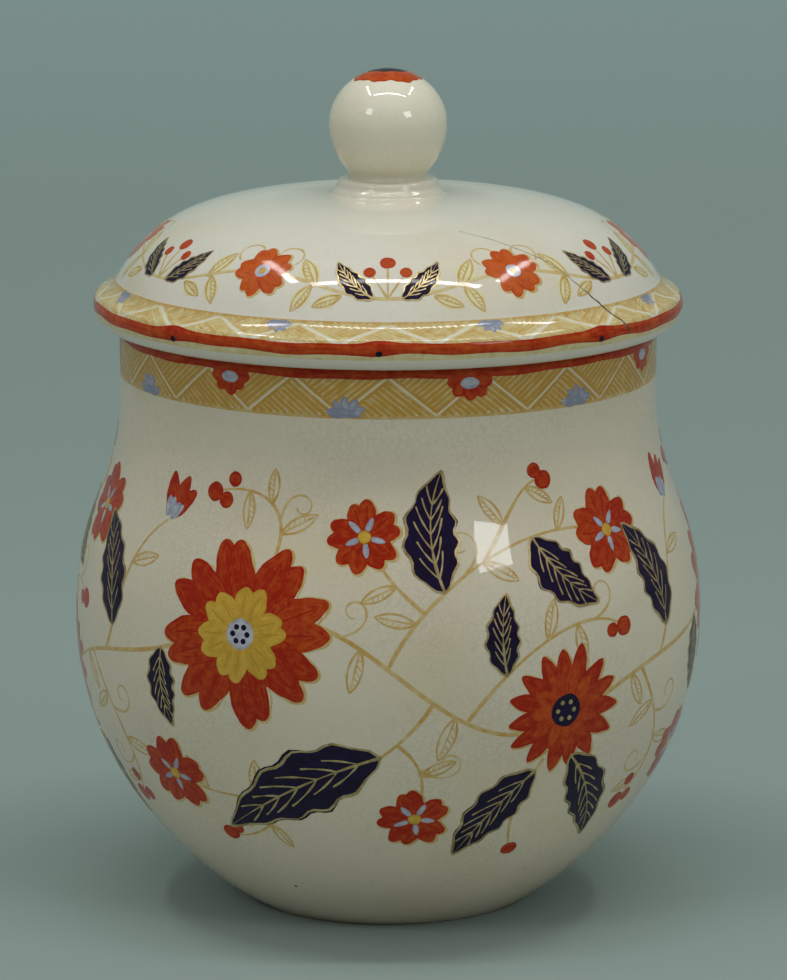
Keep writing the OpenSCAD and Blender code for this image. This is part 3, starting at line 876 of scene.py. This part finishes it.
yellow_paint, shader = painted("yellow_enamel", 0.14, YELLOW_THIN, YELLOW_THICK, streak=1.3, pooling=0.25)
blue_paint, shader = painted("blue_enamel", 0.09, BLUE_THIN, BLUE_THICK, streak=1.6, pooling=0.1)
shader.inputs["Specular IOR Level"].default_value = ENAMEL_SHEEN
gilding, shader = painted("gilding", 0.32, GILT_BRIGHT, GILT_WORN, streak=2.0)
shader.inputs["Metallic"].default_value = GILT_METAL
coat("jar_ochre", ochre, "jar", ochre_paint)
coat("jar_grey", grey, "jar", grey_paint)
coat("jar_red", red, "jar", red_paint)
coat("jar_yellow", yellow, "jar", yellow_paint)
coat("jar_blue", blue, "jar", blue_paint)
coat("jar_gilt", gilt, "jar", gilding)


# The lid
# Cast in one piece with its rolled edge, its low dome, the collar under the knob and the flange
# that drops into the jar's mouth. It only lies on the rim, so it lifts straight off.

lid_overhang = 3.8
edge_tuck, edge_low, edge_top, edge_over = 2.5, 3.1, 1.85, 1.4
dome_inset, dome_h = 3.7, 12.05
brim_slope, dome_slope = np.radians(23), np.radians(59)
cove_h, cove_pull, dome_pull, crown_pull = 2.3, 1.4, 12.2, 25.0
lid_wall, hollow_rise, hollow_reach = 3.8, 13.0, 24.0
flange_drop, flange_t, flange_gap, flange_round = 5.0, 2.8, 0.9, 0.9
collar_r, collar_h, collar_round, bead_r, bead_h = 7.5, 2.3, 0.7, 8.4, 1.0
crown_r, crown_soft = 16, 0.5
EDGE_ROWS, COLLAR_ROWS, HOLLOW_ROWS = 0.2, 0.25, 0.7
ROLL_STEPS, COVE_STEPS, DOME_STEPS, HOLLOW_STEPS = 60, 80, 400, 120
BEAD_STEPS, COLLAR_STEPS, FLANGE_STEPS, SOFT_REACH = 20, 16, 20, 6

lid_r = neck_r + lid_overhang
edge_z = jar_h + edge_low
dome_z = edge_z + edge_top + cove_h
crown_z = dome_z + dome_h
collar_z = crown_z + collar_h
flange_r = mouth_r - flange_gap
hollow_r, hollow_z = flange_r - flange_t, crown_z - lid_wall
flange_low = jar_h - flange_drop + flange_round
edge_turn = np.arctan2(edge_top, edge_over * np.tan(brim_slope))
edge_point = np.array([lid_r - edge_over * (1 - np.cos(edge_turn)), edge_z + edge_top * np.sin(edge_turn)])
brim_way = np.array([-np.cos(brim_slope), np.sin(brim_slope)])
rise = np.array([-np.cos(dome_slope), np.sin(dome_slope)])
dome_point = np.array([lid_r - dome_inset, dome_z])


def softened(points, radius):
    """A line whose corners the glaze has filled: set out at fine steps, then each point is the mean of
    those within the radius, and the two ends stay."""
    fine = even(points, radius / SOFT_REACH)
    padded = np.pad(fine, ((SOFT_REACH, SOFT_REACH), (0, 0)), mode="reflect", reflect_type="odd")
    window = np.ones(2 * SOFT_REACH + 1) / (2 * SOFT_REACH + 1)
    return np.stack([np.convolve(padded[:, k], window, "valid") for k in (0, 1)], 1)


lid_edge = even(np.vstack([
    arc((lid_r - edge_tuck, edge_z), (edge_tuck, edge_low), -90, 0, ROLL_STEPS),
    arc((lid_r - edge_over, edge_z), (edge_over, edge_top), 0, np.degrees(edge_turn), ROLL_STEPS)[1:],
    bezier(edge_point, edge_point + cove_pull * brim_way, dome_point - cove_pull * rise, dome_point,
           COVE_STEPS)[1:],
]), EDGE_ROWS)
dome = bezier(dome_point, dome_point + dome_pull * rise, (crown_pull, crown_z), (0, crown_z), DOME_STEPS)
dome_low = even(dome[dome[:, 0] > crown_r], OUTER_STEP)
dome_high = even(softened(np.vstack([
    dome[(dome[:, 0] <= crown_r) & (dome[:, 0] > bead_r)],
    arc((collar_r, crown_z), (bead_r - collar_r, bead_h), 0, 90, BEAD_STEPS),
    arc((collar_r - collar_round, collar_z - collar_round), (collar_round, collar_round), 0, 90,
        COLLAR_STEPS),
    [[0, collar_z]],
]), crown_soft), COLLAR_ROWS)
hollow = bezier((hollow_r, jar_h), (hollow_r, jar_h + hollow_rise), (hollow_reach, hollow_z),
                (0, hollow_z), HOLLOW_STEPS)
lid_inside = even(np.vstack([
    hollow[::-1],
    arc((hollow_r + flange_round, flange_low), (flange_round, flange_round), 180, 270, FLANGE_STEPS),
    arc((flange_r - flange_round, flange_low), (flange_round, flange_round), 270, 360, FLANGE_STEPS),
    [[flange_r, jar_h]],
]), HOLLOW_ROWS)
lid_outside = np.vstack([lid_edge, dome_low[1:], dome_high])
lid = turned("lid_body", np.vstack([lid_inside, lid_outside]), TURN_STEPS, "lid")
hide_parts("lid")

LID_CREAM, LID_STAIN, LID_CRAZING = (0.67, 0.66, 0.56, 1), 0.45, 0.1
glazed(lid, "lid_glaze", LID_CREAM, LID_STAIN, LID_CRAZING)


# The lid's border
# The same ruled border on the sloping brim, over a broad red line on the rolled edge with a dark
# dot on each of its eight swellings. The print shows again below the red, and grey-blue
# half-flowers hang from its top.

lid_border_low_z, red_low_z, edge_dot_z, red_high_z, lid_border_high_z = 88.95, 89.75, 89.95, 91.32, 93.72
swell_count, swell_first, swell_stray, swell_half = 8, -1.5, 1, 2.4
swell_down, swell_up, swell_tone, waver_low, waver_high = 0.25, 0.55, 0.3, 1.6, 0.8
top_line_down, top_line_up, under_red, flower_down = 0.2, 0.28, 0.4, 0.1
# Lighter, yellower tones than on the neck, whose border is given painted shade.
lid_ruling = {"repeats": 20, "gap": 0.6, "pitch": 1.05, "wash_tone": -0.3, "line_tone": 0.12}

lid_face = face_of(np.vstack([lid_edge, dome_low[1:]]))
lid_border_low, red_low, red_high, lid_border_high = run_at(
    lid_face, (lid_border_low_z, red_low_z, red_high_z, lid_border_high_z))
swellings = np.arange(swell_count) * 360 / swell_count + swell_first
swellings = swellings + hand.normal(0, swell_stray, swell_count)
turn_round = np.linspace(-np.pi, np.pi, ROUND_STEPS)
away = (turn_round[:, None] - np.radians(swellings) + np.pi) % (2 * np.pi) - np.pi
bump = np.exp(-(away * lid_r / swell_half) ** 2).sum(1)
edge_ochre = hatched(lid_face, red_high - border_inside, lid_border_high, **lid_ruling)
edge_ochre.append(band(lid_face, lid_border_high - top_line_down, lid_border_high + top_line_up, 3,
                       OCHRE_LIFT, tone=0.3))
edge_ochre.append(band(lid_face, lid_border_low, red_low + under_red, 7, WASH_LIFT, tone=-0.25))
edge_red = band(lid_face, red_low + waver_low * rim_waver - swell_down * bump,
                red_high + waver_high * rim_waver + swell_up * bump, 24, RED_LIFT,
                tone=swell_tone * bump[:, None] + 0.05)
edge_grey = half_flowers(lid_face, swellings + 180 / swell_count, lid_border_high_z - flower_down, size=-0.72)
edge_dots = dabs(lid_face, swellings, edge_dot_z, radius=0.5, lift=BLUE_LIFT, squash=0.85, tone=0.6)
coat("lid_edge_ochre", edge_ochre, "lid", ochre_paint)
coat("lid_edge_red", [edge_red], "lid", red_paint)
coat("lid_edge_grey", edge_grey, "lid", grey_paint)
coat("lid_edge_dots", [edge_dots], "lid", blue_paint)


# The lid's sprays
# A light garland drawn for this lid on the lower half of the dome, in the jar's own colours, with a
# flower on each of its six waves and a pair of leaves with berries between them.

garland_z, garland_swing, garland_half, GARLAND_WAVES = 98.4, 1.9, 0.25, 6
blossom_z, curl_z, curl_aside = 99.8, 100.8, 7.5
stalk_ways, stalk_long, stalk_half, berry_r = (60, 90, 120), (5.2, 6.4, 5.2), 0.16, (0.9, 1.15, 0.9)
curl_ways, curl_turns, curl_long, curl_half = (35, 145), (4.2, -4.2), 8.0, 0.14
STALK_STEPS, CURL_STEPS, SHOOT_WASH = 8, 24, -0.6
pair_aside, pair_ways, pair_turns = (-3, 3), (150.0, 30.0), (-0.7, 0.7)
pair_long, pair_half = 8.5, 1.75


def sixths(rows):
    """One wave's drawing as rows, set out again for each of the garland's waves: a row's degrees go on
    by a sixth of a turn from wave to wave, and its other values stay."""
    rows = np.array(rows, float)
    step = np.eye(rows.shape[1])[0] * 360 / GARLAND_WAVES
    return (np.arange(GARLAND_WAVES)[:, None, None] * step + rows).reshape(-1, rows.shape[1]).T


garland_angle = np.linspace(-np.pi, np.pi, VINE_STEPS)
garland_run = run_at(lid_face, garland_z) - garland_swing * np.cos(GARLAND_WAVES * garland_angle)
trough_z = np.interp(garland_run.min(), lid_face[0], lid_face[2])
lid_ochre = [line(lid_face, garland_angle[None], garland_run[None], garland_half, 3, OCHRE_LIFT, 0.0,
                  PEN_WOBBLE)]
where = sixths([(180 / GARLAND_WAVES, blossom_z)])
lid_red, printed = petals(lid_face, *where, count=5, lobes=2, inner=0.4, outer=4.5, half=1.3,
                          lift=RED_LIFT, tilt=0.5, tone=-0.3)
lid_ochre.append(printed)
lid_grey = [dabs(lid_face, *where, radius=1.15, lift=YELLOW_LIFT, tone=-0.3)]
lid_yellow = [dabs(lid_face, *where, radius=0.55, lift=BLUE_LIFT)]
pair = np.hstack([sixths([(aside, trough_z, way, pair_long, pair_half, turn)])
                  for aside, way, turn in zip(pair_aside, pair_ways, pair_turns)])
blade, lid_gilt = leaves(lid_face, *pair)
lid_blue = [blade]
*where, ways, reach, radius = sixths([(0, trough_z, *row) for row in zip(stalk_ways, stalk_long, berry_r)])
stalk = sweep(0.0, 0.0, np.radians(ways), reach, 0.0, np.linspace(0, 1, STALK_STEPS))
lid_ochre.append(line(lid_face, *spot(lid_face, *where, *stalk), stalk_half, 2, OCHRE_LIFT, 0.2, FINE_WOBBLE))
lid_red.append(dabs(lid_face, *where, radius, RED_LIFT, stalk[0][:, -1], stalk[1][:, -1]))
lid_ochre += leaflets(lid_face, *sixths([
    (16, 98.3, 62, 5.5), (17, 98.5, -62, 5), (10, 97.2, -24, 4.5),
    (44, 98.3, 118, 5.5), (43, 98.5, -118, 5), (50, 97.2, -156, 4.5),
]), SHOOT_WASH)
*where, ways, turns = sixths([(180 / GARLAND_WAVES + aside, curl_z, way, turn) for aside, way, turn
                              in zip((curl_aside, -curl_aside), curl_ways, curl_turns)])
curl = sweep(0.0, 0.0, np.radians(ways), curl_long, turns, np.linspace(0, 1, CURL_STEPS))
lid_ochre.append(line(lid_face, *spot(lid_face, *where, *curl), curl_half, 2, OCHRE_LIFT, 0.1, FINE_WOBBLE))
coat("lid_ochre", lid_ochre, "lid", ochre_paint)
coat("lid_grey", lid_grey, "lid", grey_paint)
coat("lid_red", lid_red, "lid", red_paint)
coat("lid_yellow", lid_yellow, "lid", yellow_paint)
coat("lid_blue", lid_blue, "lid", blue_paint)
coat("lid_gilt", lid_gilt, "lid", gilding)


# The lid's crack
# A hairline crack from a knock: it starts faint on the crown, runs down the right side of the dome
# and opens, dark with tea and dust, where it meets the edge.

CRACK_STEPS, CRACK_STRAY, CRACK_WOBBLE = 60, 0.09, 0.4
crack_fine, crack_open, crack_dark = 0.03, 0.09, 1.2
crack_path = np.array([
    (22.6, 104.5), (29.2, 103.6), (33.2, 102.7), (37.1, 101.6), (40.9, 100.3),
    (44.0, 98.3), (46.3, 96.5), (48.8, 94.7), (51.0, 92.6), (53.0, 90.2),
])
crack_share = np.linspace(0, 1, CRACK_STEPS)
crack_knots = np.linspace(0, 1, len(crack_path))
crack_degrees, crack_z = (np.interp(crack_share, crack_knots, values) for values in crack_path.T)
crack_degrees = crack_degrees + np.cumsum(hand.normal(0, CRACK_STRAY, CRACK_STEPS))
crack = line(lid_face, np.radians(crack_degrees)[None], run_at(lid_face, crack_z)[None],
             (crack_fine + crack_open * crack_share)[None], 2, GOLD_LIFT, 0.0, CRACK_WOBBLE)
crack[-1][..., 2] += crack_dark * (crack_share[:, None] - 0.5)

CRACK_THIN, CRACK_DARK = (0.52, 0.48, 0.38, 1), (0.05, 0.04, 0.03, 1)
crack_line, shader = painted("crack_line", 0.7, CRACK_THIN, CRACK_DARK, streak=1.5, relief=0.0)
coat("lid_crack", [crack], "lid", crack_line)


# The knob
# A ball turned a little flat on top, stuck with slip to the collar before the lid was fired. A
# red cap with a scalloped edge and a dark blue middle are painted on top of it.

knob_r, knob_top, knob_low, knob_seat_r = 8.8, 8.2, 8.0, 4.8
glaze_fill_r, glaze_fill_turn, glaze_fill_pull = 6.6, 45, 0.9
cap_z, middle_z, middle_back, pole_hole = 123.55, 124.5, 0.9, 0.04
KNOB_ROWS, KNOB_TURN_STEPS, BALL_STEPS, FILL_STEPS = 0.25, 160, 60, 20

knob_z = collar_z + knob_low
knob_fall = knob_low / np.sqrt(1 - (knob_seat_r / knob_r) ** 2)
ball_low = arc((0, knob_z), (knob_r, knob_fall), -glaze_fill_turn, 0, BALL_STEPS)
glaze_fill = bezier((glaze_fill_r, collar_z), (glaze_fill_r - glaze_fill_pull, collar_z),
                    ball_low[0] - glaze_fill_pull * headings(ball_low)[0], ball_low[0], FILL_STEPS)
knob_outside = inset(even(np.vstack([
    glaze_fill[:-1],
    ball_low,
    arc((0, knob_z), (knob_r, knob_top), 0, 90, BALL_STEPS)[1:],
]), KNOB_ROWS), PAINT_DEPTH)
knob_outside[-1, 0] = 0
knob = turned("knob_ball", np.vstack([[[0, knob_outside[0, 1]]], knob_outside]), KNOB_TURN_STEPS, "lid")
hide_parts("knob")

# The knob carries the lid's glaze, but its cream is set lighter than the lid's: painted light, to brighten
# the ball.
KNOB_CREAM_PAINTED_LIGHT = (0.73, 0.715, 0.57, 1)
glazed(knob, "knob_glaze_painted_light", KNOB_CREAM_PAINTED_LIGHT, LID_STAIN, LID_CRAZING)

knob_face = face_of(knob_outside)
pole = knob_face[0, -1] - pole_hole
cap_edge = waved(run_at(knob_face, cap_z), (0.2, 7, 0.8), (0.2, 3, 2), (0.1, 17, 0))
middle_edge = waved(run_at(knob_face, middle_z), (middle_back, 1, np.pi / 2), (0.15, 5, 0))
knob_red = band(knob_face, cap_edge, pole, 16, RED_LIFT, tone=-0.05)
knob_blue = band(knob_face, middle_edge, pole, 12, BLUE_LIFT, tone=0.4)
coat("knob_red", [knob_red], "lid", red_paint)
coat("knob_blue", [knob_blue], "lid", blue_paint)


# The stage
# A plain pale sheet under the pot and rising behind it, a frame of strip lamps overhead, a pair of
# small soft lamps in front, even light all round, and the camera where the photograph was taken.

camera_distance, camera_height, camera_side = 0.800, 0.2251, 0.0008
camera_pitch = np.radians(11.56)
FOCAL_PIXELS, LONG_SIDE, SENSOR = 5450, 980, 36.0

camera = bpy.data.cameras.new("camera")
camera.sensor_width = SENSOR
camera.lens = FOCAL_PIXELS / LONG_SIDE * SENSOR
camera_object = bpy.data.objects.new("camera", camera)
camera_object.location = (camera_side, -camera_distance, camera_height)
camera_object.rotation_euler = (np.pi / 2 - camera_pitch, 0, 0)
bpy.context.scene.collection.objects.link(camera_object)
bpy.context.scene.camera = camera_object

# The sheet is painted darker near the pot and paler towards the back: painted shade where the lamps light it
# most, and painted light where their light falls off, so that it looks even. Near the pot it also has a
# second, paler colour for the light that it sends back to the pot.
FLOOR_NEAR, FLOOR_FAR_PAINTED_LIGHT, FLOOR_LIT = (0.27, 0.35, 0.325, 1), (0.62, 0.815, 0.775, 1), (0.40, 0.45, 0.425, 1)
FLOOR_ROUGHNESS, FLOOR_PAINTED_LIGHT_FADE, BEND_STEPS = 0.9, (0.15, 1.6), 25
floor_half, floor_back, sweep_r, floor_rise = 2.0, 1.2, 0.5, 2.5

bend = np.linspace(0, np.pi / 2, BEND_STEPS)
sheet_line = np.vstack([
    [[-floor_half, 0]],
    np.stack([floor_back + sweep_r * np.sin(bend), sweep_r * (1 - np.cos(bend))], 1),
    [[floor_back + sweep_r, floor_rise]],
])
edges = np.array([-floor_half, floor_half])
sheet_points = np.stack([edges + 0 * sheet_line[:, :1], sheet_line[:, :1] + 0 * edges,
                         sheet_line[:, 1:] + 0 * edges], -1)
step = np.arange(len(sheet_line) - 1)
sheet = bpy.data.meshes.new("floor")
sheet.from_pydata(sheet_points.reshape(-1, 3).tolist(), [],
                  np.stack([2 * step, 2 * step + 1, 2 * step + 3, 2 * step + 2], 1).tolist())
sheet.polygons.foreach_set("use_smooth", np.ones(len(step), bool))
floor = bpy.data.objects.new("floor", sheet)
bpy.context.scene.collection.objects.link(floor)
floor_paper, shader = finish("floor_paper", FLOOR_ROUGHNESS)
tree = floor_paper.node_tree
place = add(tree, "ShaderNodeTexCoord", {}).outputs["Object"]
back = add(tree, "ShaderNodeSeparateXYZ", {"Vector": place}).outputs["Y"]
path = add(tree, "ShaderNodeLightPath", {}).outputs
seen = calc(tree, "ADD", path["Is Camera Ray"], path["Is Glossy Ray"])
seen = calc(tree, "ADD", seen, path["Is Transmission Ray"])
near = mixed(tree, seen, FLOOR_LIT, FLOOR_NEAR)
tree.links.new(mixed(tree, fade(tree, back, *FLOOR_PAINTED_LIGHT_FADE), near, FLOOR_FAR_PAINTED_LIGHT), shader.inputs["Base Color"])
sheet.materials.append(floor_paper)


def lamp(name, place, aim, size, power):
    """A rectangular soft lamp at a place, turned to face a point: tipped from straight down by the angle
    of the way to the point, and swung round to the way's own bearing."""
    light = bpy.data.lights.new(name, "AREA")
    light.shape = "RECTANGLE"
    light.size, light.size_y = size
    light.energy = power
    made = bpy.data.objects.new(name, light)
    way = np.array(aim, float) - np.array(place, float)
    made.location = place
    made.rotation_euler = (np.arctan2(np.hypot(way[0], way[1]), -way[2]), 0, np.arctan2(-way[0], way[1]))
    bpy.context.scene.collection.objects.link(made)


lamp("overhead_left", (-0.30, 0.06, 0.70), (-0.30, 0.061, 0), (0.03, 0.30), 0.57)
lamp("overhead_right", (0.36, 0.10, 0.70), (0.36, 0.101, 0), (0.03, 0.30), 0.57)
lamp("overhead_front", (0.03, -0.13, 0.70), (0.03, -0.129, 0), (0.56, 0.035), 1.15)
lamp("overhead_soft", (0, -0.45, 1.5), (0, -0.2, 0), (2.4, 1.8), 5)
lamp("front_right", (0.674, -0.735, 0.605), (0, 0, 0.06), (0.26, 0.24), 1.4)
lamp("front_left", (-0.632, -0.691, 0.70), (0, 0, 0.06), (0.24, 0.24), 1.05)

ROOM_LIGHT, ROOM_STRENGTH = (1.0, 0.99, 0.97, 1), 0.27
world = bpy.data.worlds.new("studio")
world.use_nodes = True
room = world.node_tree.nodes["Background"].inputs
room["Color"].default_value = ROOM_LIGHT
room["Strength"].default_value = ROOM_STRENGTH
bpy.context.scene.world = world
bpy.context.scene.view_settings.view_transform = "Standard"
